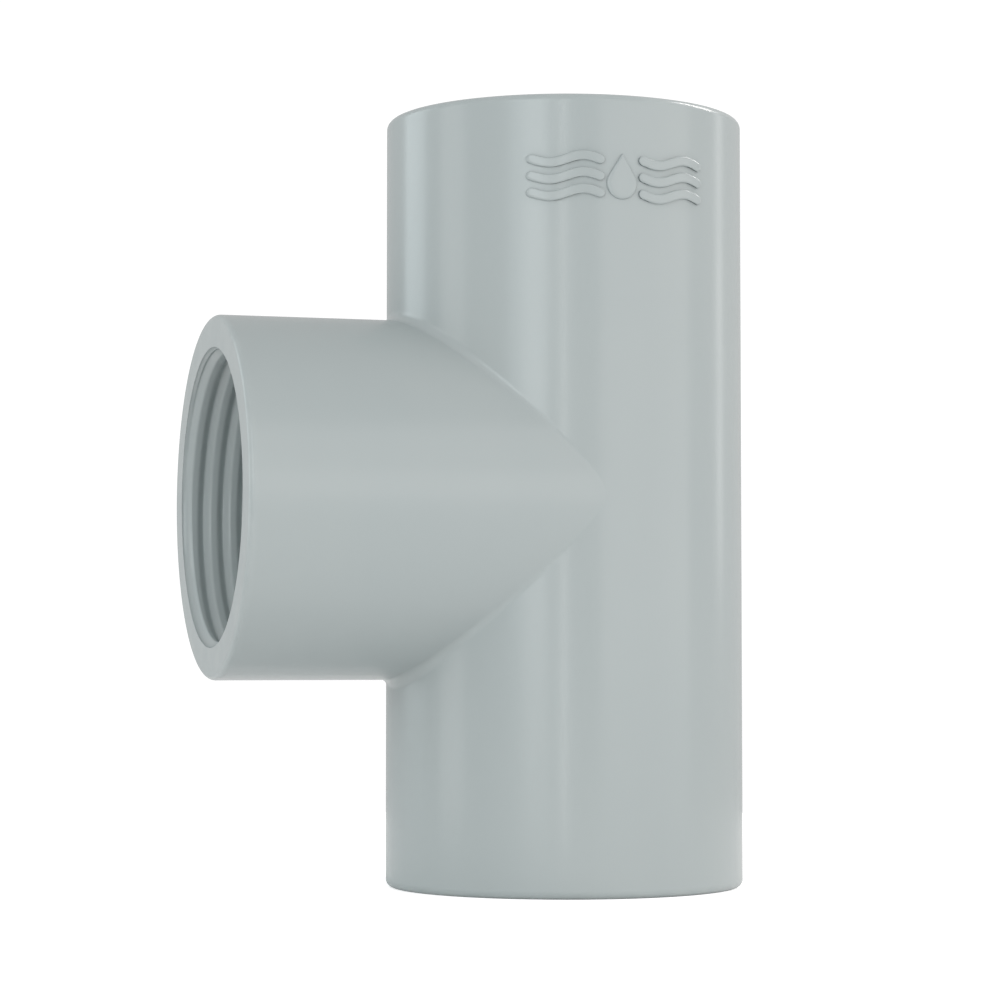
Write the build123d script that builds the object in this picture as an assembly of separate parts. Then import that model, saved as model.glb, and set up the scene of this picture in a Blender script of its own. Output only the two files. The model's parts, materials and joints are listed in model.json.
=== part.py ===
from build123d import *
import math
import os

# A plastic pressure-pipe tee in the 1 inch size, in millimetres. It stands on its lower socket:
# the run is along +Z from z = 0 and the branch points along -X at half its height.
# The real fitting is one moulding. Its working regions are kept as separate solids that meet
# face to face: two slip sockets, the junction between them, and the threaded branch.

# Run, the straight tube that takes a plain pipe in each end
run_outer_r = 20.5
arm_length = 44.1  # branch axis to the face of either socket
socket_bore_r = 16.73  # slides over 33.4 mm pipe
socket_depth = 22.2  # face to the shoulder that stops the pipe
socket_lead_in = 0.8  # bevel that guides the pipe in
rim_round_r = 0.9
run_waterway_r = 13.3

# Branch, a tube of almost the same outside size with an internal pipe thread
branch_outer_r = 20.42
branch_reach = 41.5  # run axis to the branch face
branch_edge_round_r = 0.6
branch_waterway_r = 13.0
crease_fillet_r = 1.2  # where the branch runs into the run
junction_side = 22.3  # run axis to where the junction gives way to the branch tube

# Thread, parallel, 11 turns to the inch, right-handed, shallow, with flat crests
thread_core_r = 17.6  # outside of the threaded wall
thread_crest_r = 16.15
thread_root_r = 16.75
thread_pitch = 25.4 / 11
thread_flank_deg = 48
thread_groove_width = 1.45  # across the mouth of the groove
thread_first_groove = 2.55  # groove centre below the branch face, on the +Y side
thread_end_land = 1.0  # least plain wall left below the last turn
thread_mouth_r = 16.81
thread_mouth_depth = 1.0  # half of it straight, half of it sloping in to the crests

# Raised mark, a water drop between wavy lines, on the -Y side of the upper socket
mark_relief = 0.35
mark_above_axis = 34.9
mark_line_length = 7.2
mark_line_width = 1.05
mark_line_pitch = 1.85
mark_line_swing = 0.42
mark_line_offset = 6.1  # centre of a line from the middle of the mark
mark_drop_r = 1.75
mark_drop_height = 5.0

height = 2 * arm_length
branch_length = branch_reach - junction_side
from_below = (Align.CENTER, Align.CENTER, Align.MIN)


def rod(radius, length):
    return Cylinder(radius, length, align=from_below)


def along_branch(shape):
    """Lays a shape built up +Z from z = 0 along -X from the run axis."""
    return Pos(0, 0, arm_length) * Rot(0, -90, 0) * shape


def edge_circle(shape, radius, level):
    """The circular edges of a given radius at a given height."""
    circles = shape.edges().filter_by(GeomType.CIRCLE)
    return [
        e for e in circles
        if abs(e.radius - radius) < 1e-3 and abs(e.center().Z - level) < 1e-3
    ]


def socket():
    """A slip socket with its mouth down at z = 0."""
    tube = rod(run_outer_r, socket_depth) - rod(socket_bore_r, socket_depth)
    tube = fillet(edge_circle(tube, run_outer_r, 0), rim_round_r)
    return chamfer(edge_circle(tube, socket_bore_r, 0), socket_lead_in)


def lower_socket():
    return socket()


def upper_socket():
    return Pos(0, 0, height) * Rot(180, 0, 0) * socket()


def junction_body():
    """Both tubes blended into each other, cut off at the shoulders, with the crossing waterways."""
    outside = rod(run_outer_r, height) + along_branch(rod(branch_outer_r, branch_reach))
    crease = [e for e in outside.edges() if e.geom_type not in (GeomType.CIRCLE, GeomType.LINE)]
    outside = fillet(crease, crease_fillet_r)
    middle_depth = run_outer_r + junction_side
    middle = Pos((run_outer_r - junction_side) / 2, 0, arm_length) * Box(
        middle_depth, 3 * run_outer_r, height - 2 * socket_depth
    )
    waterways = rod(run_waterway_r, height) + along_branch(rod(branch_waterway_r, branch_reach))
    return (outside & middle) - waterways


def branch_hub():
    """The plain outer wall of the branch, which carries the threaded wall inside it."""
    tube = rod(branch_outer_r, branch_length) - rod(thread_core_r, branch_length)
    tube = fillet(edge_circle(tube, branch_outer_r, branch_length), branch_edge_round_r)
    return along_branch(Pos(0, 0, junction_side) * tube)


def thread_groove(turns):
    """A trapezoid groove cutter that climbs a right-hand helix, centred on z = 0 at +X."""
    depth = thread_root_r - thread_crest_r
    mouth = thread_groove_width / 2
    slope = math.tan(math.radians(thread_flank_deg))
    overrun = 0.3  # the cutter stands this far into the open bore
    path = Helix(pitch=thread_pitch, height=thread_pitch * turns, radius=thread_crest_r)
    section = Polygon(
        (-overrun, -mouth - overrun * slope),
        (depth, -mouth + depth * slope),
        (depth, mouth - depth * slope),
        (-overrun, mouth + overrun * slope),
        align=None,
    )
    placed = Plane(origin=path @ 0, x_dir=(1, 0, 0), z_dir=(0, -1, 0)) * section
    return sweep(placed, path=path, is_frenet=True)


def branch_thread():
    """The threaded wall: a plain ring with a helical groove and a wider mouth.

    The groove is cut in a ring that is two turns too long, and the ring is then faced off.
    """
    stock_length = branch_length + 2 * thread_pitch
    stock = rod(thread_core_r, stock_length) - rod(thread_crest_r, stock_length)
    threaded_length = branch_length - thread_first_groove - thread_end_land
    turns_below = math.floor(threaded_length / thread_pitch)
    start = branch_length - thread_first_groove - turns_below * thread_pitch
    stock = stock - Pos(0, 0, start) * Rot(0, 0, 90) * thread_groove(turns_below + 2)
    ring = stock - Pos(0, 0, branch_length) * rod(branch_outer_r, stock_length)
    lead_in = thread_mouth_depth / 2
    mouth = Cone(thread_crest_r, thread_mouth_r, lead_in, align=from_below)
    mouth += Pos(0, 0, lead_in) * rod(thread_mouth_r, lead_in)
    ring -= Pos(0, 0, branch_length - thread_mouth_depth) * mouth
    return along_branch(Pos(0, 0, junction_side) * ring)


def wavy_line(centre, level):
    """A ribbon with one full wave, drawn flat, with its ends rounded."""
    steps = [-0.5, -0.25, 0, 0.25, 0.5]
    points = [
        (
            centre + mark_line_length * s,
            level + mark_line_swing * math.sin(2 * math.pi * s),
        )
        for s in steps
    ]
    ribbon = trace(Spline(*points), line_width=mark_line_width)
    for end in (points[0], points[-1]):
        ribbon += Pos(*end) * Circle(mark_line_width / 2)
    return ribbon


def drop():
    """A round drop with straight sides up to a point, drawn flat and centred in its height."""
    bottom = -mark_drop_height / 2
    centre = bottom + mark_drop_r
    tip = mark_drop_height / 2
    lean = math.asin(mark_drop_r / (tip - centre))
    touch_x = mark_drop_r * math.cos(lean)
    touch_y = centre + mark_drop_r * math.sin(lean)
    outline = [
        Line((touch_x, touch_y), (0, tip)),
        Line((0, tip), (-touch_x, touch_y)),
        ThreePointArc((-touch_x, touch_y), (0, bottom), (touch_x, touch_y)),
    ]
    return make_face(Curve() + outline)


def raised_mark():
    """The flat drawing pushed through a thin shell around the run, so that it follows the tube."""
    drawing = [drop()]
    for side in (-1, 1):
        for row in (-1, 0, 1):
            drawing.append(wavy_line(side * mark_line_offset, row * mark_line_pitch))
    shell = rod(run_outer_r + mark_relief, height) - rod(run_outer_r, height)
    front = Plane(origin=(0, 0, arm_length + mark_above_axis), x_dir=(1, 0, 0), z_dir=(0, -1, 0))
    return [
        extrude(front * figure, run_outer_r + 2 * mark_relief) & shell for figure in drawing
    ]


def main():
    os.makedirs("parts", exist_ok=True)
    export_step(lower_socket(), "parts/lower_socket.step")
    export_step(upper_socket(), "parts/upper_socket.step")
    export_step(junction_body(), "parts/junction_body.step")
    export_step(branch_hub(), "parts/branch_hub.step")
    export_step(branch_thread(), "parts/branch_thread.step")
    export_step(Compound(children=raised_mark()), "parts/raised_mark.step")


main()
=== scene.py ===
"""Finishes a moulded plastic pipe tee around its packed CAD frame.

The run stands along +Z from the floor and the branch points along -X at half its height. Each
visible piece is a closed surface worked out from the tee's own sizes, in metres. Two angles are
used throughout. A turn goes round the run, from 0 at the branch, and is positive towards +Y. A roll
goes round the branch, from 0 at +Y, and is positive towards +Z.
"""

import json
import math

import bpy
import numpy as np
from bpy.props import FloatProperty, FloatVectorProperty, PointerProperty
from mathutils import Matrix, Vector


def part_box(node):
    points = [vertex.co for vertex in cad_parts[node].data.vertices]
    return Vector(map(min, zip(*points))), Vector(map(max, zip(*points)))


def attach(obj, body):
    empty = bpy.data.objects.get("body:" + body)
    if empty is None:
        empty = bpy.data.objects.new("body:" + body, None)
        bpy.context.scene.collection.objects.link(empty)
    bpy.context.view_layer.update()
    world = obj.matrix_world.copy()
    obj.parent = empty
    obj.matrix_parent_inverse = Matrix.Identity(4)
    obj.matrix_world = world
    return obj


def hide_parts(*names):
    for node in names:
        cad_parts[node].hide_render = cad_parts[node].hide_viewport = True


bl_info = {
    "name": "Moulded Pipe Tee",
    "version": (1, 0, 0),
    "blender": (4, 5, 0),
    "location": "3D View > Sidebar > Pipe Tee",
    "description": "Builds the walls, thread, raised mark and finish of a moulded pipe tee",
    "category": "Object",
}

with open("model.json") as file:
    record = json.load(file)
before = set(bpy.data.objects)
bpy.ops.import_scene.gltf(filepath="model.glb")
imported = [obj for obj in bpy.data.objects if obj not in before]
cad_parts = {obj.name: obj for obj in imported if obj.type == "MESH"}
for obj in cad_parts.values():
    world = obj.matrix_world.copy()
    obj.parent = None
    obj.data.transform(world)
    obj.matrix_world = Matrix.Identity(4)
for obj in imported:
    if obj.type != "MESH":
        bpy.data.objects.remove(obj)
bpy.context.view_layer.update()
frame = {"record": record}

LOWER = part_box("lower_socket")
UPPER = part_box("upper_socket")
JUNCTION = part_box("junction_body")
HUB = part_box("branch_hub")
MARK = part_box("raised_mark")
MOUNTS = {mount["name"]: mount for mount in frame["record"]["mounts"]}

AXIS_LEVEL = (JUNCTION[0].z + JUNCTION[1].z) / 2
HALF_JUNCTION = (JUNCTION[1].z - JUNCTION[0].z) / 2
BRANCH_START = -JUNCTION[0].x
BRANCH_REACH = -HUB[0].x

# Rolls where the junction's grid turns the corners of the rectangle it opens out to
ROLL_CORNERS = np.radians([-30.0, 30.0, 150.0, 210.0, 330.0])
SIDE_STEPS = 64
CROWN_STEPS = 192

# The thread: how many turns follow the first one, the share of a pitch in which the last one fades
# out, and the grid round the branch and along it
LATER_TURNS = 6
FADE_SHARE = 0.4
THREAD_GRID = (257, 260)


def millimetres(name, description, value):
    """A length property with a default given in millimetres."""
    return FloatProperty(
        name=name,
        description=description,
        default=value / 1000,
        min=0,
        subtype="DISTANCE",
        unit="LENGTH",
        precision=5,
    )


def colour(name, description, value):
    return FloatVectorProperty(
        name=name, description=description, default=value, min=0, max=1, size=3, subtype="COLOR"
    )


class TeeSizes(bpy.types.PropertyGroup):
    """Sizes of the walls and of the small roundings that a mould leaves."""

    run_radius: millimetres("Run radius", "Outside radius of the run", 20.5)
    branch_radius: millimetres("Branch radius", "Outside radius of the branch", 20.42)
    run_waterway: millimetres("Run waterway", "Radius of the bore through the run", 13.3)
    branch_waterway: millimetres("Branch waterway", "Radius of the bore into the run", 13.0)
    crease_round: millimetres("Crease round", "Fillet where the branch meets the run", 1.2)
    port_round: millimetres("Port round", "Rounding where the two bores cross", 0.5)
    ledge_round: millimetres("Ledge round", "Rounding at the shoulder inside a socket", 0.4)
    rim_round: millimetres("Rim round", "Rounding of a socket's outer rim", 0.9)
    lead_in: millimetres("Lead-in", "Bevel that guides the pipe into a socket", 0.8)
    lead_in_round: millimetres("Lead-in round", "Softening of the bevel's two edges", 0.2)
    face_round: millimetres("Face round", "Rounding of the branch's outer edge", 0.6)


class ThreadSizes(bpy.types.PropertyGroup):
    """Sizes of the thread inside the branch."""

    core: millimetres("Core radius", "Where the threaded wall meets the branch wall", 17.6)
    root_depth: millimetres("Thread depth", "Crest to root", 0.6)
    pitch: millimetres("Pitch", "Distance between turns", 25.4 / 11)
    mouth_width: millimetres("Groove width", "Width of the groove at the crest", 1.45)
    softness: millimetres("Edge softness", "Rounding of the crest and root edges", 0.07)
    first_turn: millimetres("First turn", "Depth of the first groove on the +Y side", 2.55)
    lip_softness: millimetres("Lip softness", "Rounding where the flare meets a crest", 0.05)
    flare: millimetres("Mouth flare", "Radius that the flared mouth adds at the face", 0.66)
    flare_depth: millimetres("Flare depth", "Depth of the flared mouth", 1.0)
    flank: FloatProperty(
        name="Flank angle",
        description="Lean of each side of the groove",
        default=math.radians(48),
        subtype="ANGLE",
        unit="ROTATION",
    )


class MarkSizes(bpy.types.PropertyGroup):
    """Sizes of the raised water drop and of the wavy lines beside it."""

    relief: millimetres("Relief", "Height above the wall", 0.35)
    line_length: millimetres("Line length", "Length along the middle of a line", 7.2)
    line_width: millimetres("Line width", "Width of a line", 1.05)
    line_pitch: millimetres("Line pitch", "Distance between lines", 1.85)
    line_swing: millimetres("Line swing", "Rise and fall of a line", 0.42)
    line_offset: millimetres("Line offset", "Middle of the mark to the middle of a line", 6.1)
    drop_radius: millimetres("Drop radius", "Radius of the drop's round end", 1.75)
    drop_height: millimetres("Drop height", "Drop from end to end", 5.0)


class PlasticFinish(bpy.types.PropertyGroup):
    """Colour and surface of the moulded plastic."""

    base: colour("Base", "Main colour", (0.43, 0.475, 0.475))
    flow: colour("Flow", "Colour of the faint flow marks", (0.405, 0.455, 0.46))
    worn: colour("Worn", "Colour of rubbed edges", (0.50, 0.54, 0.535))
    roughness: FloatProperty(
        name="Roughness", description="Mean roughness", default=0.2, min=0, max=1, subtype="FACTOR"
    )
    flow_strength: FloatProperty(
        name="Flow strength", description="How far the flow marks show", default=0.4, min=0, max=1
    )
    wear_strength: FloatProperty(
        name="Wear strength", description="How far the rubbed edges show", default=0.35, min=0, max=1
    )
    wear_width: millimetres("Wear width", "How far in from a rim the rubbing reaches", 1.2)
    grain_depth: millimetres("Grain depth", "Height of the mould's fine grain", 0.004)


class StudioSettings(bpy.types.PropertyGroup):
    """Light and floor."""

    floor_colour: colour("Floor", "Colour of the floor", (0.9, 0.9, 0.9))
    floor_radius: millimetres("Floor radius", "Radius of the round floor", 160)
    floor_seen: FloatProperty(
        name="Floor seen", description="Glow of the floor that the camera sees", default=0.6, min=0
    )
    floor_lighting: FloatProperty(
        name="Floor lighting", description="Glow of the floor that lights the tee", default=0.03, min=0
    )
    surround_seen: FloatProperty(
        name="Surround seen", description="Brightness of the room to the camera", default=1.05, min=0
    )
    surround: FloatProperty(
        name="Surround", description="Brightness of the room that lights the tee", default=0.57, min=0
    )
    camera_lens: FloatProperty(
        name="Lens", description="Focal length on a 36 mm sensor", default=109.16, min=1
    )


# ---------------------------------------------------------------- grids and meshes


def around_run(radius, turn, level):
    """A point at a radius from the run's axis, at a turn and a level:
    (-radius cos turn, radius sin turn, level)."""
    radius, turn, level = np.broadcast_arrays(radius, turn, level)
    return np.stack([-radius * np.cos(turn), radius * np.sin(turn), level], axis=-1)


def around_branch(radius, roll, reach, level=None):
    """A point at a radius from the branch's axis, at a roll and a reach along -X:
    (-reach, radius cos roll, axis level + radius sin roll)."""
    radius, roll, reach = np.broadcast_arrays(radius, roll, reach)
    base = AXIS_LEVEL if level is None else level
    return np.stack([-reach, radius * np.cos(roll), base + radius * np.sin(roll)], axis=-1)


def unit(vectors):
    return vectors / np.linalg.norm(vectors, axis=-1, keepdims=True)


def mesh_from_grids(name, grids):
    """One closed mesh from grids of points and their surface normals. Each grid cell becomes two
    triangles wound to agree with the normals, points that coincide become one vertex, and
    triangles that have shrunk to a line are left out."""
    points = np.concatenate([grid.reshape(-1, 3) for grid, _ in grids])
    normals = np.concatenate([normal.reshape(-1, 3) for _, normal in grids])
    starts = np.cumsum([0] + [grid.shape[0] * grid.shape[1] for grid, _ in grids[:-1]])
    cells = []
    for (grid, _), start in zip(grids, starts):
        index = start + np.arange(grid.shape[0] * grid.shape[1]).reshape(grid.shape[:2])
        corners = [index[:-1, :-1], index[:-1, 1:], index[1:, 1:], index[1:, :-1]]
        cells.append(np.stack(corners, axis=-1).reshape(-1, 4))
    cells = np.concatenate(cells)
    triangles = np.concatenate([cells[:, [0, 1, 2]], cells[:, [0, 2, 3]]])

    _, first, welded = np.unique(
        np.round(points * 1e7).astype(np.int64), axis=0, return_index=True, return_inverse=True
    )
    welded = welded.reshape(-1)
    shared = welded[triangles]
    apart = (
        (shared[:, 0] != shared[:, 1])
        & (shared[:, 1] != shared[:, 2])
        & (shared[:, 2] != shared[:, 0])
    )
    triangles, shared = triangles[apart], shared[apart]
    edges = points[triangles]
    facing = np.cross(edges[:, 1] - edges[:, 0], edges[:, 2] - edges[:, 0])
    backwards = np.einsum("ij,ij->i", facing, normals[triangles].sum(axis=1)) < 0
    triangles[backwards] = triangles[backwards][:, ::-1]
    shared[backwards] = shared[backwards][:, ::-1]

    mesh = bpy.data.meshes.new(name)
    mesh.vertices.add(len(first))
    mesh.vertices.foreach_set("co", points[first].astype(np.float32).ravel())
    mesh.loops.add(shared.size)
    mesh.loops.foreach_set("vertex_index", shared.astype(np.int32).ravel())
    mesh.polygons.add(len(shared))
    mesh.polygons.foreach_set("loop_start", np.arange(0, shared.size, 3, dtype=np.int32))
    mesh.polygons.foreach_set("loop_total", np.full(len(shared), 3, dtype=np.int32))
    mesh.update(calc_edges=True)
    mesh.polygons.foreach_set("use_smooth", np.ones(len(shared), dtype=bool))
    mesh.normals_split_custom_set(unit(normals[triangles.ravel()]).astype(np.float32))
    if mesh.validate():
        raise RuntimeError(f"{name}: the grids don't make a sound mesh")
    return mesh


def rounded_outline(corners, rounds, steps=7):
    """A closed outline of (radius, level) corners, given anticlockwise, with its corners rounded.
    At each corner both edges are cut back by round x tan(turn / 2) and joined by an arc, and the
    outward normal turns with the arc. A round of zero keeps the corner sharp."""
    corners = np.array(corners, dtype=float)
    rounds = np.array(rounds, dtype=float)[:, None]
    arriving = unit(corners - np.roll(corners, 1, axis=0))
    leaving = np.roll(arriving, -1, axis=0)
    cross = arriving[:, 0] * leaving[:, 1] - arriving[:, 1] * leaving[:, 0]
    bend = np.arctan2(cross, np.sum(arriving * leaving, axis=1))[:, None]
    start = corners - arriving * rounds * np.tan(np.abs(bend) / 2)
    first = np.arctan2(-arriving[:, 0], arriving[:, 1])[:, None]
    angle = first + bend * np.linspace(0, 1, steps)
    normals = np.stack([np.cos(angle), np.sin(angle)], axis=-1)
    signed = (np.sign(bend) * rounds)[:, :, None]
    points = start[:, None] + signed * (normals - normals[:, :1])
    points, normals = points.reshape(-1, 2), normals.reshape(-1, 2)
    return np.concatenate([points, points[:1]]), np.concatenate([normals, normals[:1]])


def turned(outline, place, angles):
    """An outline carried round an axis. place is around_run or around_branch."""
    points, normals = outline
    radius, level = points[:, :1], points[:, 1:]
    grid = place(radius, angles[None, :], level)
    if place is around_branch:
        normal = around_branch(normals[:, :1], angles[None, :], normals[:, 1:], 0)
    else:
        normal = around_run(normals[:, :1], angles[None, :], normals[:, 1:])
    return grid, normal


def add_piece(name, grids, replaced):
    """Makes the object, in its place, standing for the CAD node that it replaces."""
    piece = bpy.data.objects.new(name, mesh_from_grids(name, grids))
    bpy.context.scene.collection.objects.link(piece)
    piece.data.materials.append(moulded_plastic())
    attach(piece, "root")
    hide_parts(replaced)
    return piece


# ---------------------------------------------------------------- the walls


def junction_columns():
    """The rolls of the junction's grid lines and, for each, the corner-to-corner turn and the
    level (-1 to 1) of the point on the opened-out rectangle that it runs to."""
    spans = [SIDE_STEPS, CROWN_STEPS, SIDE_STEPS, CROWN_STEPS]
    parts = [
        np.linspace(ROLL_CORNERS[i], ROLL_CORNERS[i + 1], count, endpoint=False)
        for i, count in enumerate(spans)
    ]
    rolls = np.concatenate(parts + [ROLL_CORNERS[-1:]])
    turn = np.interp(rolls, ROLL_CORNERS, [math.pi, math.pi, -math.pi, -math.pi, math.pi])
    level = np.interp(rolls, ROLL_CORNERS, [-1, 1, 1, -1, -1])
    return rolls, turn, level


def run_columns():
    return np.linspace(-math.pi, math.pi, CROWN_STEPS + 1)


def crossing(run_radius, branch_radius, ball, start, half_height, rows, facing):
    """Two crossing tubes and the fillet that a ball leaves between them.

    The ball's centre is at run_radius + ball from the run's axis and at branch_radius + ball from
    the branch's, so for a roll it is (-sqrt((run + ball)^2 - y^2), y, z) with y and z the cosine
    and sine of the roll times (branch + ball). The ball touches each tube where its centre is
    carried straight back to that tube's axis. Three grids follow each roll: the branch from start
    to the touch point, the fillet swept between the two directions, and the run from the other
    touch point, straight in turn and level, to the edge of the opened-out run. facing is 1 for the
    outside of the wall and -1 for its bore."""
    rolls, edge_turn, edge_level = junction_columns()
    y = (branch_radius + ball) * np.cos(rolls)
    z = (branch_radius + ball) * np.sin(rolls)
    x = -np.sqrt((run_radius + ball) ** 2 - y**2)
    centre = np.stack([x, y, AXIS_LEVEL + z], axis=-1)
    to_run = unit(np.stack([x, y, 0 * z], axis=-1))
    to_branch = unit(np.stack([0 * x, y, z], axis=-1))

    along = np.linspace(0, 1, rows[0] + 1)[:, None]
    reach = start + along * (-x - start)
    branch = around_branch(branch_radius, rolls[None, :], reach)
    branch_normal = np.broadcast_to(to_branch, branch.shape)

    opening = np.arccos(np.clip(np.sum(to_run * to_branch, axis=-1), -1, 1))[:, None]
    swept = np.linspace(0, 1, rows[1] + 1)[:, None, None]
    near = np.sin((1 - swept) * opening) * to_branch
    far = np.sin(swept * opening) * to_run
    fillet_normal = (near + far) / np.sin(opening)
    fillet = centre - ball * fillet_normal

    out = np.linspace(0, 1, rows[2] + 1)[:, None]
    touch_turn = np.arctan2(y, -x)
    turn = touch_turn + out * (edge_turn - touch_turn)
    level = z + out * (edge_level * half_height - z)
    run = around_run(run_radius, turn, AXIS_LEVEL + level)
    run_normal = around_run(1, turn, 0)
    grids = [(branch, branch_normal), (fillet, fillet_normal), (run, run_normal)]
    return [(grid, facing * normal) for grid, normal in grids]


def shoulder_ring(outer, inner, rounding, level, upward):
    """The flat ring at one end of the junction, rounded down into the bore by a quarter circle."""
    swing = np.radians(np.linspace(0, 90, 7))
    radius = np.append(outer, inner + rounding * (1 - np.sin(swing)))
    drop = np.append(0, rounding * (1 - np.cos(swing)))
    normal_in = np.append(0, np.sin(swing))
    normal_up = np.append(1, np.cos(swing))
    return np.stack([radius, level - upward * drop], -1), np.stack([-normal_in, upward * normal_up], -1)


class PIPETEE_OT_sockets(bpy.types.Operator):
    """Build the walls of the two slip sockets"""

    bl_idname = "pipetee.sockets"
    bl_label = "Socket Walls"

    def execute(self, context):
        sizes = context.scene.tee_sizes
        bore = MOUNTS["lower_socket"]["dims"]["r_mm"] / 1000
        for name, box, replaced in (
            ("lower_socket_wall", LOWER, "lower_socket"),
            ("upper_socket_wall", UPPER, "upper_socket"),
        ):
            depth = box[1].z - box[0].z
            points, normals = rounded_outline(
                [
                    (sizes.run_radius, 0),
                    (sizes.run_radius, depth),
                    (bore, depth),
                    (bore, sizes.lead_in),
                    (bore + sizes.lead_in, 0),
                ],
                [sizes.rim_round, 0, 0, sizes.lead_in_round, sizes.lead_in_round],
            )
            if box is UPPER:
                points[:, 1] = UPPER[1].z - points[:, 1]
                normals[:, 1] *= -1
            add_piece(name, [turned((points, normals), around_run, run_columns())], replaced)
        return {"FINISHED"}


class PIPETEE_OT_junction(bpy.types.Operator):
    """Build the middle of the tee, where the two tubes run into each other"""

    bl_idname = "pipetee.junction"
    bl_label = "Junction Shell"

    def execute(self, context):
        sizes = context.scene.tee_sizes
        ledge = sizes.ledge_round
        outside = crossing(
            sizes.run_radius, sizes.branch_radius, sizes.crease_round,
            BRANCH_START, HALF_JUNCTION, (16, 10, 44), 1,
        )
        inside = crossing(
            sizes.run_waterway, sizes.branch_waterway, sizes.port_round,
            BRANCH_START - ledge, HALF_JUNCTION - ledge, (16, 6, 32), -1,
        )
        rings = []
        for upward in (-1, 1):
            level = AXIS_LEVEL + upward * HALF_JUNCTION
            ring = shoulder_ring(sizes.run_radius, sizes.run_waterway, ledge, level, upward)
            rings.append(turned(ring, around_run, run_columns()))
        ring = shoulder_ring(sizes.branch_radius, sizes.branch_waterway, ledge, BRANCH_START, 1)
        rings.append(turned(ring, around_branch, junction_columns()[0]))
        add_piece("junction_shell", outside + inside + rings, "junction_body")
        return {"FINISHED"}


class PIPETEE_OT_branch(bpy.types.Operator):
    """Build the plain outer wall of the branch"""

    bl_idname = "pipetee.branch"
    bl_label = "Branch Wall"

    def execute(self, context):
        sizes = context.scene.tee_sizes
        core = context.scene.tee_thread.core
        outline = rounded_outline(
            [
                (sizes.branch_radius, BRANCH_START),
                (sizes.branch_radius, BRANCH_REACH),
                (core, BRANCH_REACH),
                (core, BRANCH_START),
            ],
            [0, sizes.face_round, 0, 0],
        )
        grids = [turned(outline, around_branch, junction_columns()[0])]
        add_piece("branch_wall", grids, "branch_hub")
        return {"FINISHED"}


def soft_ramp(value, softness):
    """Zero below zero and the value above it, with the corner rounded: s ln(1 + e^(v / s))."""
    return softness * np.logaddexp(0, value / softness)


def groove_depth(thread, roll, depth):
    """How far the groove cuts past the crest, at a roll and a depth below the branch's face.

    The groove's centre sinks by one pitch a turn, so the distance to the nearest centre is what is
    left of depth - first turn - pitch x roll / 360 degrees after whole pitches. The cut is a
    trapezoid, (half width - distance) / tan(flank) held between zero and the thread's depth, with
    rounded corners. It fades out over the last part of a turn above the inner end."""
    past = depth - thread.first_turn - thread.pitch * roll / (2 * math.pi)
    distance = (past + thread.pitch / 2) % thread.pitch - thread.pitch / 2
    cut = (thread.mouth_width / 2 - np.abs(distance)) / math.tan(thread.flank)
    held = soft_ramp(cut, thread.softness) - soft_ramp(cut - thread.root_depth, thread.softness)
    last = thread.first_turn + LATER_TURNS * thread.pitch
    fade = np.clip((last - (depth - distance)) / (FADE_SHARE * thread.pitch), 0, 1)
    return held * fade * fade * (3 - 2 * fade)


def flared(thread, cut, depth):
    """The cut with the mouth opened out. The flare is flare x (1 - (depth / flare depth)^2), and
    the deeper of the two is kept, with the corner between them rounded."""
    flare = thread.flare * np.clip(1 - (depth / thread.flare_depth) ** 2, 0, 1)
    opened = flare + soft_ramp(cut - flare, thread.lip_softness)
    return np.where(depth < thread.flare_depth, opened, cut)


class PIPETEE_OT_thread(bpy.types.Operator):
    """Build the threaded wall inside the branch"""

    bl_idname = "pipetee.thread"
    bl_label = "Branch Thread"

    def execute(self, context):
        thread = context.scene.tee_thread
        crest = MOUNTS["branch_thread"]["dims"]["r_mm"] / 1000
        length = BRANCH_REACH - BRANCH_START
        roll = np.linspace(0, 2 * math.pi, THREAD_GRID[0])
        depth = np.linspace(0, length, THREAD_GRID[1])
        across, down = np.meshgrid(roll, depth)
        cut = flared(thread, groove_depth(thread, across, down), down)
        bore = around_branch(crest + cut, across, BRANCH_REACH - down)
        step_down = np.gradient(bore, depth, axis=0)
        step_across = np.gradient(bore, roll, axis=1)
        step_across[:, 0] = step_across[:, -1] = (step_across[:, 0] + step_across[:, -1]) / 2
        normal = unit(np.cross(step_down, step_across))
        inward = around_branch(-1, across, 0, 0)
        normal *= np.sign(np.sum(normal * inward, axis=-1, keepdims=True))
        outer = np.full_like(roll, thread.core)

        def strip(first, second, normals):
            return np.stack([first, second]), np.broadcast_to(normals, (2,) + normals.shape)

        face_edge = around_branch(outer, roll, BRANCH_REACH)
        inner_edge = around_branch(outer, roll, BRANCH_START)
        facing = np.broadcast_to([-1.0, 0.0, 0.0], face_edge.shape)
        grids = [
            (bore, normal),
            strip(face_edge, bore[0], facing),
            strip(inner_edge, bore[-1], -facing),
            strip(face_edge, inner_edge, around_branch(1, roll, 0, 0)),
        ]
        add_piece("thread_wall", grids, "branch_thread")
        return {"FINISHED"}


# ---------------------------------------------------------------- the raised mark


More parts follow.
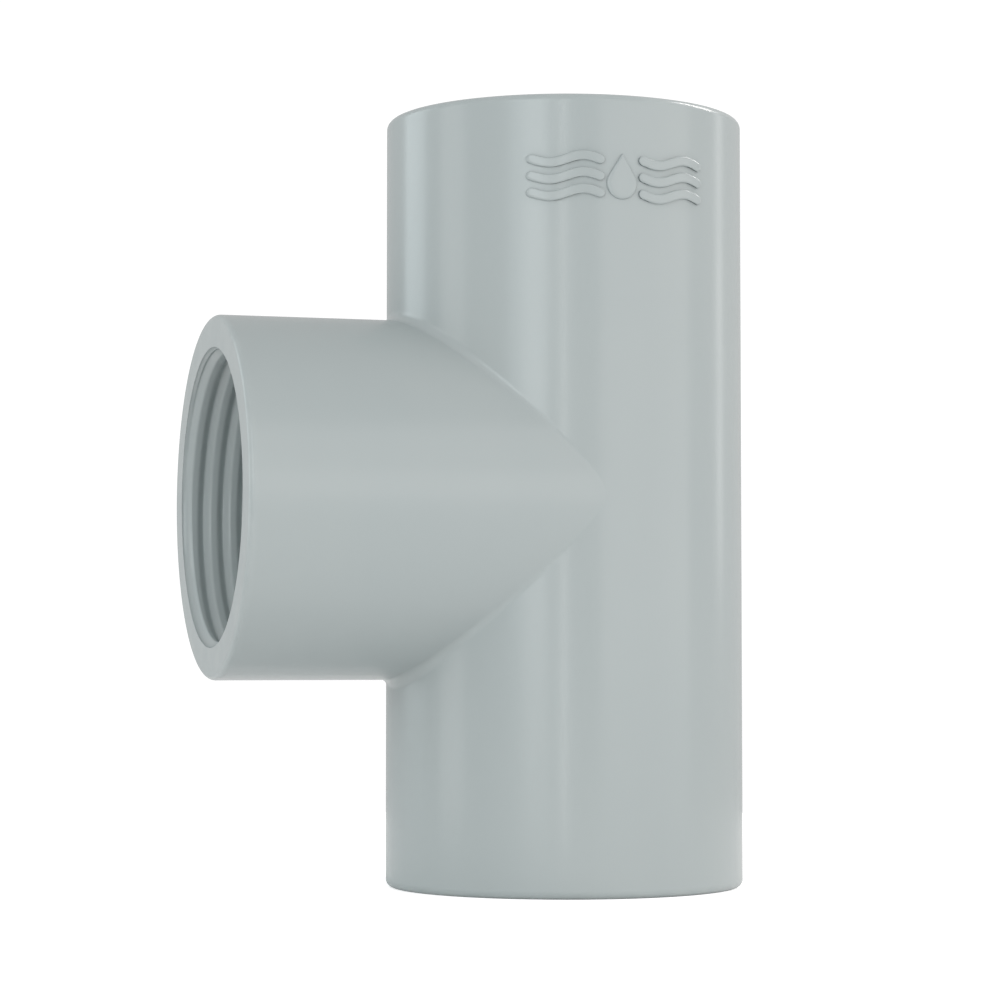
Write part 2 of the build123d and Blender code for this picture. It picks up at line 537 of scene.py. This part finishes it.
def pillow(spine, edge, run_radius, relief):
    """A flat closed figure raised on the run with softened edges. For each point of the outline
    the surface goes straight from its spine point (share 0) to the edge (share 1), and its height
    is relief x (1 - share^5)^(1/5). It then drops below the wall and closes underneath. Drawn
    points (x, level) are placed on the -Y side of the run at their own x."""
    bent = np.radians(np.linspace(0, 90, 12))[:, None]
    share = np.sin(bent) ** 0.4
    height = relief * np.cos(bent) ** 0.4
    share = np.concatenate([share, [[1.0]], [[0.0]]])
    height = np.concatenate([height, [[-0.3 * relief]], [[-0.3 * relief]]])
    drawn = spine[None] + share[:, :, None] * (edge - spine)[None]
    radius = run_radius + height
    x = drawn[:, :, 0]
    grid = np.stack([x, -np.sqrt(radius**2 - x**2), drawn[:, :, 1]], axis=-1)
    down = np.gradient(grid[:-2], axis=0)
    across = np.gradient(grid[:-2], axis=1)
    across[:, 0] = across[:, -1] = (across[:, 0] + across[:, -1]) / 2
    normal = np.cross(down, across)
    outward = np.stack([x, grid[:, :, 1], 0 * x], axis=-1) / run_radius
    flat = np.linalg.norm(normal, axis=-1, keepdims=True) < 1e-16
    normal = np.where(flat, outward[:-2], normal)
    normal *= np.sign(np.sum(normal * outward[:-2], axis=-1, keepdims=True) + 1e-30)
    normal[0] = outward[0]
    sideways = np.concatenate([(edge - spine)[:, :1], 0 * edge[:, :1], (edge - spine)[:, 1:]], 1)
    normal[-1] = sideways
    wall = np.stack([grid[-3], grid[-2]]), np.stack([sideways, sideways])
    floor = grid[-2:], -outward[-2:]
    return [(grid[:-2], normal), wall, floor]


def wavy_line(mark, centre, level):
    """One full wave of even width with round ends. The spine is level + swing x sin(2 pi s), and
    the outline is half a width to either side of it, carried round each end in a half circle."""
    s = np.linspace(-0.5, 0.5, 49)
    slope = mark.line_swing * 2 * math.pi / mark.line_length * np.cos(2 * math.pi * s)
    lean = np.arctan(slope)
    cap = np.linspace(0, math.pi, 17)[1:-1]
    along = np.concatenate([s, np.full(cap.size, 0.5), s[::-1], np.full(cap.size, -0.5), s[:1]])
    aim = np.concatenate(
        [
            lean + math.pi / 2,
            lean[-1] + math.pi / 2 - cap,
            lean[::-1] - math.pi / 2,
            lean[0] - math.pi / 2 - cap,
            lean[:1] + math.pi / 2,
        ]
    )
    height = level + mark.line_swing * np.sin(2 * math.pi * along)
    spine = np.stack([centre + mark.line_length * along, height], axis=-1)
    edge = spine + mark.line_width / 2 * np.stack([np.cos(aim), np.sin(aim)], axis=-1)
    return spine, edge


def water_drop(mark, level):
    """A round end with straight sides drawn up to a point. The sides leave the circle where its
    tangent passes through the point."""
    centre = -mark.drop_height / 2 + mark.drop_radius
    tip = mark.drop_height / 2
    lean = math.asin(mark.drop_radius / (tip - centre))
    sweep = np.linspace(lean, -math.pi - lean, 73)
    bowl = np.stack([np.cos(sweep), np.sin(sweep)], axis=-1) * mark.drop_radius
    bowl[:, 1] += centre
    point = np.array([0.0, tip])
    side = np.linspace(0, 1, 13)[:, None]
    edge = np.concatenate(
        [point + side[:-1] * (bowl[0] - point), bowl[:-1], bowl[-1] + side * (point - bowl[-1])]
    )
    edge[:, 1] += level
    spine = np.stack([0 * edge[:, 0], np.clip(edge[:, 1], level + centre, level + tip * 0.7)], -1)
    return spine, edge


class PIPETEE_OT_mark(bpy.types.Operator):
    """Build the raised water drop and wavy lines on the upper socket"""

    bl_idname = "pipetee.mark"
    bl_label = "Raised Mark"

    def execute(self, context):
        mark = context.scene.tee_mark
        run_radius = context.scene.tee_sizes.run_radius
        level = (MARK[0].z + MARK[1].z) / 2
        figures = [("raised_drop", [water_drop(mark, level)])]
        for side, name in ((-1, "raised_waves_left"), (1, "raised_waves_right")):
            lines = [
                wavy_line(mark, side * mark.line_offset, level + row * mark.line_pitch)
                for row in (-1, 0, 1)
            ]
            figures.append((name, lines))
        for name, outlines in figures:
            grids = []
            for spine, edge in outlines:
                grids += pillow(spine, edge, run_radius, mark.relief)
            add_piece(name, grids, "raised_mark")
        return {"FINISHED"}


# ---------------------------------------------------------------- the finish


def new_group(name, inputs, outputs):
    """A shader node group with named sockets. Returns it with its input and output nodes."""
    group = bpy.data.node_groups.new(name, "ShaderNodeTree")
    for label, kind, value in inputs:
        socket = group.interface.new_socket(name=label, in_out="INPUT", socket_type=kind)
        if value is not None:
            socket.default_value = value
    for label, kind in outputs:
        group.interface.new_socket(name=label, in_out="OUTPUT", socket_type=kind)
    return group, group.nodes.new("NodeGroupInput"), group.nodes.new("NodeGroupOutput")


def math_node(tree, operation, first, second=None, clamp=False):
    """A Math node whose inputs are sockets or numbers. Returns its output socket."""
    node = tree.nodes.new("ShaderNodeMath")
    node.operation = operation
    node.use_clamp = clamp
    for index, value in enumerate((first, second)):
        if isinstance(value, (int, float)):
            node.inputs[index].default_value = value
        elif value is not None:
            tree.links.new(value, node.inputs[index])
    return node.outputs[0]


def noise_node(tree, vector, scale, detail, roughness=0.5):
    node = tree.nodes.new("ShaderNodeTexNoise")
    node.inputs["Scale"].default_value = scale
    node.inputs["Detail"].default_value = detail
    node.inputs["Roughness"].default_value = roughness
    tree.links.new(vector, node.inputs["Vector"])
    return node.outputs["Fac"]


def ramp_node(tree, value, low, high):
    """Maps low..high to 0..1, smoothly."""
    node = tree.nodes.new("ShaderNodeMapRange")
    node.interpolation_type = "SMOOTHSTEP"
    node.inputs["From Min"].default_value = low
    node.inputs["From Max"].default_value = high
    tree.links.new(value, node.inputs["Value"])
    return node.outputs["Result"]


def mix_colour(tree, factor, first, second):
    """Mixes two colours. The second is a socket or a constant colour."""
    node = tree.nodes.new("ShaderNodeMix")
    node.data_type = "RGBA"
    tree.links.new(factor, node.inputs["Factor"])
    tree.links.new(first, node.inputs["A"])
    if isinstance(second, tuple):
        node.inputs["B"].default_value = second
    else:
        tree.links.new(second, node.inputs["B"])
    return node.outputs["Result"]


def flow_marks_group():
    """Faint clouds of colour that the melt leaves as it fills the mould, drawn out along the run."""
    group, inward, outward = new_group(
        "melt_flow_marks",
        [
            ("Vector", "NodeSocketVector", None),
            ("Base", "NodeSocketColor", None),
            ("Flow", "NodeSocketColor", None),
            ("Strength", "NodeSocketFloat", 0.5),
        ],
        [("Color", "NodeSocketColor"), ("Mask", "NodeSocketFloat")],
    )
    stretch = group.nodes.new("ShaderNodeMapping")
    stretch.inputs["Scale"].default_value = (1.0, 1.0, 0.35)
    group.links.new(inward.outputs["Vector"], stretch.inputs["Vector"])
    clouds = noise_node(group, stretch.outputs["Vector"], 60, 3)
    mask = ramp_node(group, clouds, 0.3, 0.7)
    share = math_node(group, "MULTIPLY", mask, inward.outputs["Strength"])
    mixed = mix_colour(group, share, inward.outputs["Base"], inward.outputs["Flow"])
    group.links.new(mixed, outward.inputs["Color"])
    group.links.new(mask, outward.inputs["Mask"])
    return group


def edge_wear_group():
    """The two rims and the branch's face rubbed a little paler: the wear is full at each of those
    levels, fades over its width, and fine noise breaks it up."""
    group, inward, outward = new_group(
        "rubbed_edges",
        [
            ("Vector", "NodeSocketVector", None),
            ("Head", "NodeSocketFloat", 0.09),
            ("Reach", "NodeSocketFloat", 0.04),
            ("Width", "NodeSocketFloat", 0.001),
        ],
        [("Mask", "NodeSocketFloat")],
    )
    place = group.nodes.new("ShaderNodeSeparateXYZ")
    group.links.new(inward.outputs["Vector"], place.inputs[0])
    below_head = math_node(group, "SUBTRACT", inward.outputs["Head"], place.outputs["Z"])
    inside_face = math_node(group, "ADD", inward.outputs["Reach"], place.outputs["X"])
    nearest = math_node(group, "MINIMUM", place.outputs["Z"], below_head)
    nearest = math_node(group, "MINIMUM", nearest, inside_face)
    share = math_node(group, "DIVIDE", nearest, inward.outputs["Width"])
    near = math_node(group, "SUBTRACT", 1.0, ramp_node(group, share, 0.0, 1.0))
    broken = ramp_node(group, noise_node(group, inward.outputs["Vector"], 300, 2), 0.3, 0.7)
    group.links.new(math_node(group, "MULTIPLY", near, broken), outward.inputs["Mask"])
    return group


def mould_grain_group():
    """The shallow grain of a polished mould: slow waves and fine pebbling. Gives a height and a
    roughness, which drifts a little in broad patches."""
    group, inward, outward = new_group(
        "mould_grain",
        [("Vector", "NodeSocketVector", None), ("Roughness", "NodeSocketFloat", 0.3)],
        [("Height", "NodeSocketFloat"), ("Roughness", "NodeSocketFloat")],
    )
    vector = inward.outputs["Vector"]
    waves = noise_node(group, vector, 260, 2)
    pebbles = noise_node(group, vector, 1600, 2)
    slow = math_node(group, "MULTIPLY", waves, 0.8)
    quick = math_node(group, "MULTIPLY", pebbles, 0.2)
    height = math_node(group, "ADD", slow, quick)
    group.links.new(height, outward.inputs["Height"])
    patches = math_node(group, "SUBTRACT", noise_node(group, vector, 90, 3), 0.5)
    patches = math_node(group, "MULTIPLY", patches, 0.08)
    fine = math_node(group, "MULTIPLY", math_node(group, "SUBTRACT", pebbles, 0.5), 0.04)
    varied = math_node(group, "ADD", inward.outputs["Roughness"], patches)
    varied = math_node(group, "ADD", varied, fine, clamp=True)
    group.links.new(varied, outward.inputs["Roughness"])
    return group


def group_node(material, group):
    """Places a shared effect in a material."""
    node = material.node_tree.nodes.new("ShaderNodeGroup")
    node.node_tree = group
    return node


def moulded_plastic():
    """Grey rigid plastic with a soft satin gloss."""
    name = "grey_moulded_plastic"
    if name in bpy.data.materials:
        return bpy.data.materials[name]
    finish = bpy.context.scene.tee_finish
    material = bpy.data.materials.new(name)
    material.use_nodes = True
    tree = material.node_tree
    shader = tree.nodes["Principled BSDF"]
    place = tree.nodes.new("ShaderNodeTexCoord").outputs["Object"]

    flow = group_node(material, flow_marks_group())
    flow.inputs["Base"].default_value = (*finish.base, 1)
    flow.inputs["Flow"].default_value = (*finish.flow, 1)
    flow.inputs["Strength"].default_value = finish.flow_strength
    wear = group_node(material, edge_wear_group())
    wear.inputs["Head"].default_value = UPPER[1].z
    wear.inputs["Reach"].default_value = BRANCH_REACH
    wear.inputs["Width"].default_value = finish.wear_width
    grain = group_node(material, mould_grain_group())
    grain.inputs["Roughness"].default_value = finish.roughness
    for node in (flow, wear, grain):
        tree.links.new(place, node.inputs["Vector"])

    rubbed = math_node(tree, "MULTIPLY", wear.outputs["Mask"], finish.wear_strength)
    shade = mix_colour(tree, rubbed, flow.outputs["Color"], (*finish.worn, 1))
    tree.links.new(shade, shader.inputs["Base Color"])
    tree.links.new(grain.outputs["Roughness"], shader.inputs["Roughness"])
    bump = tree.nodes.new("ShaderNodeBump")
    bump.inputs["Strength"].default_value = 0.25
    bump.inputs["Distance"].default_value = finish.grain_depth
    tree.links.new(grain.outputs["Height"], bump.inputs["Height"])
    tree.links.new(bump.outputs["Normal"], shader.inputs["Normal"])
    shader.inputs["IOR"].default_value = 1.5
    return material


# ---------------------------------------------------------------- the stage


# The camera's heading turns from +Y towards +X and it looks slightly up at a point on the
# branch's axis, from this far away
CAMERA_HEADING = math.radians(17.05)
CAMERA_TILT = math.radians(2.84)
CAMERA_TARGET = Vector((-0.0077, 0, 0.0443))
CAMERA_DISTANCE = 0.3487

# Where azimuth 0 lies for the lights: the camera's own side of the tee
LIGHT_TURN = math.radians(-18.25)
LIGHT_DISTANCE = 0.9
COOL = (0.87, 0.97, 1.0)
NEUTRAL = (1.0, 1.0, 1.0)
WARM = (1.0, 0.95, 0.93)

# Soft rectangles round the tee: name, azimuth, elevation, width, height, power in watts, colour
LIGHTS = (
    ("key_box", -22.5, 8, 0.38, 0.25, 0.4, COOL),
    ("key_core", -18, 12, 0.25, 0.55, 0.5, NEUTRAL),
    ("key_upper", -22.5, 28, 0.38, 0.35, 0.6, COOL),
    ("front_strip", 0, 6, 0.05, 0.7, 0.4, NEUTRAL),
    ("front_low", 10, -30, 0.8, 0.4, 0.5, NEUTRAL),
    ("left_panel", -75, 5, 0.3, 0.8, 0.8, NEUTRAL),
    ("left_box", -111, 14, 0.36, 0.5, 1.0, COOL),
    ("right_box_low", 55, -8, 1.1, 0.25, 0.4, NEUTRAL),
    ("right_box", 55, 8, 1.1, 0.3, 1.2, WARM),
    ("right_box_high", 55, 32, 1.1, 0.4, 0.9, WARM),
    ("right_strip_low", 119, 12, 0.12, 0.35, 0.2, NEUTRAL),
    ("right_strip_high", 119, 40, 0.12, 0.4, 2.4, WARM),
)


def direction(azimuth, elevation):
    """The direction from the tee towards a light. Azimuth 0 is towards the camera and grows to the
    camera's right."""
    turn = math.radians(azimuth) + LIGHT_TURN
    rise = math.radians(elevation)
    return Vector((math.sin(turn) * math.cos(rise), -math.cos(turn) * math.cos(rise), math.sin(rise)))


def seen_or_lighting(tree, seen, lighting):
    """Chooses one strength for what the camera sees directly and another for the light given."""
    rays = tree.nodes.new("ShaderNodeLightPath")
    choose = tree.nodes.new("ShaderNodeMix")
    tree.links.new(rays.outputs["Is Camera Ray"], choose.inputs["Factor"])
    choose.inputs["A"].default_value = lighting
    choose.inputs["B"].default_value = seen
    return choose.outputs["Result"]


def studio_floor(settings):
    """A round pale floor under the tee, as bright to the camera as the room around it."""
    bpy.ops.mesh.primitive_circle_add(vertices=96, radius=settings.floor_radius, fill_type="NGON")
    floor = bpy.context.object
    floor.name = "pale_floor"
    material = bpy.data.materials.new("pale_floor_paper")
    material.use_nodes = True
    tree = material.node_tree
    shader = tree.nodes["Principled BSDF"]
    shader.inputs["Base Color"].default_value = (*settings.floor_colour, 1)
    shader.inputs["Roughness"].default_value = 0.9
    shader.inputs["Specular IOR Level"].default_value = 0.0
    shader.inputs["Emission Color"].default_value = (1, 1, 1, 1)
    strength = seen_or_lighting(tree, settings.floor_seen, settings.floor_lighting)
    tree.links.new(strength, shader.inputs["Emission Strength"])
    floor.data.materials.append(material)


def studio_surround(settings):
    """An even room: white where the camera sees it and much dimmer where it lights the tee."""
    world = bpy.data.worlds.new("studio_surround")
    bpy.context.scene.world = world
    world.use_nodes = True
    tree = world.node_tree
    room = tree.nodes["Background"]
    room.inputs["Color"].default_value = (1, 1, 1, 1)
    strength = seen_or_lighting(tree, settings.surround_seen, settings.surround)
    tree.links.new(strength, room.inputs["Strength"])


def soft_light(name, azimuth, elevation, width, height, power, tint):
    """A rectangular light turned to face the middle of the tee, and not seen by the camera."""
    data = bpy.data.lights.new(name, "AREA")
    data.shape = "RECTANGLE"
    data.size, data.size_y = width, height
    data.energy = power
    data.color = tint
    light = bpy.data.objects.new(name, data)
    light.visible_camera = False
    aim = direction(azimuth, elevation)
    turn = aim.to_track_quat("Z", "Y").to_matrix().to_4x4()
    middle = Vector((0, 0, AXIS_LEVEL))
    light.matrix_world = Matrix.Translation(middle + aim * LIGHT_DISTANCE) @ turn
    bpy.context.scene.collection.objects.link(light)


def studio_camera(lens):
    data = bpy.data.cameras.new("studio_camera")
    data.lens = lens
    data.sensor_width = 36
    camera = bpy.data.objects.new("studio_camera", data)
    level = math.cos(CAMERA_TILT)
    aim = Vector(
        (math.sin(CAMERA_HEADING) * level, math.cos(CAMERA_HEADING) * level, math.sin(CAMERA_TILT))
    )
    turn = aim.to_track_quat("-Z", "Y").to_matrix().to_4x4()
    camera.matrix_world = Matrix.Translation(CAMERA_TARGET - aim * CAMERA_DISTANCE) @ turn
    bpy.context.scene.collection.objects.link(camera)
    bpy.context.scene.camera = camera


class PIPETEE_OT_studio(bpy.types.Operator):
    """Set up the floor, the soft light and the camera"""

    bl_idname = "pipetee.studio"
    bl_label = "Studio"

    def execute(self, context):
        settings = context.scene.tee_studio
        studio_floor(settings)
        studio_surround(settings)
        for light in LIGHTS:
            soft_light(*light)
        studio_camera(settings.camera_lens)
        context.scene.view_settings.view_transform = "Standard"
        return {"FINISHED"}


class PIPETEE_PT_panel(bpy.types.Panel):
    """The tee's pieces and their sizes"""

    bl_idname = "PIPETEE_PT_panel"
    bl_label = "Pipe Tee"
    bl_space_type = "VIEW_3D"
    bl_region_type = "UI"
    bl_category = "Pipe Tee"

    def draw(self, context):
        for operator in OPERATORS:
            self.layout.operator(operator.bl_idname)
        for name, group in GROUPS.items():
            box = self.layout.box()
            box.label(text=group.__doc__.rstrip("."))
            settings = getattr(context.scene, name)
            for field in group.__annotations__:
                box.prop(settings, field)


GROUPS = {
    "tee_sizes": TeeSizes,
    "tee_thread": ThreadSizes,
    "tee_mark": MarkSizes,
    "tee_finish": PlasticFinish,
    "tee_studio": StudioSettings,
}
OPERATORS = (
    PIPETEE_OT_sockets,
    PIPETEE_OT_junction,
    PIPETEE_OT_branch,
    PIPETEE_OT_thread,
    PIPETEE_OT_mark,
    PIPETEE_OT_studio,
)
CLASSES = (*GROUPS.values(), *OPERATORS, PIPETEE_PT_panel)


def register():
    for item in CLASSES:
        bpy.utils.register_class(item)
    for name, group in GROUPS.items():
        setattr(bpy.types.Scene, name, PointerProperty(type=group))


def unregister():
    for name in GROUPS:
        delattr(bpy.types.Scene, name)
    for item in reversed(CLASSES):
        bpy.utils.unregister_class(item)


def main():
    register()
    bpy.ops.pipetee.sockets()
    bpy.ops.pipetee.junction()
    bpy.ops.pipetee.branch()
    bpy.ops.pipetee.thread()
    bpy.ops.pipetee.mark()
    bpy.ops.pipetee.studio()


if __name__ == "__main__":
    main()
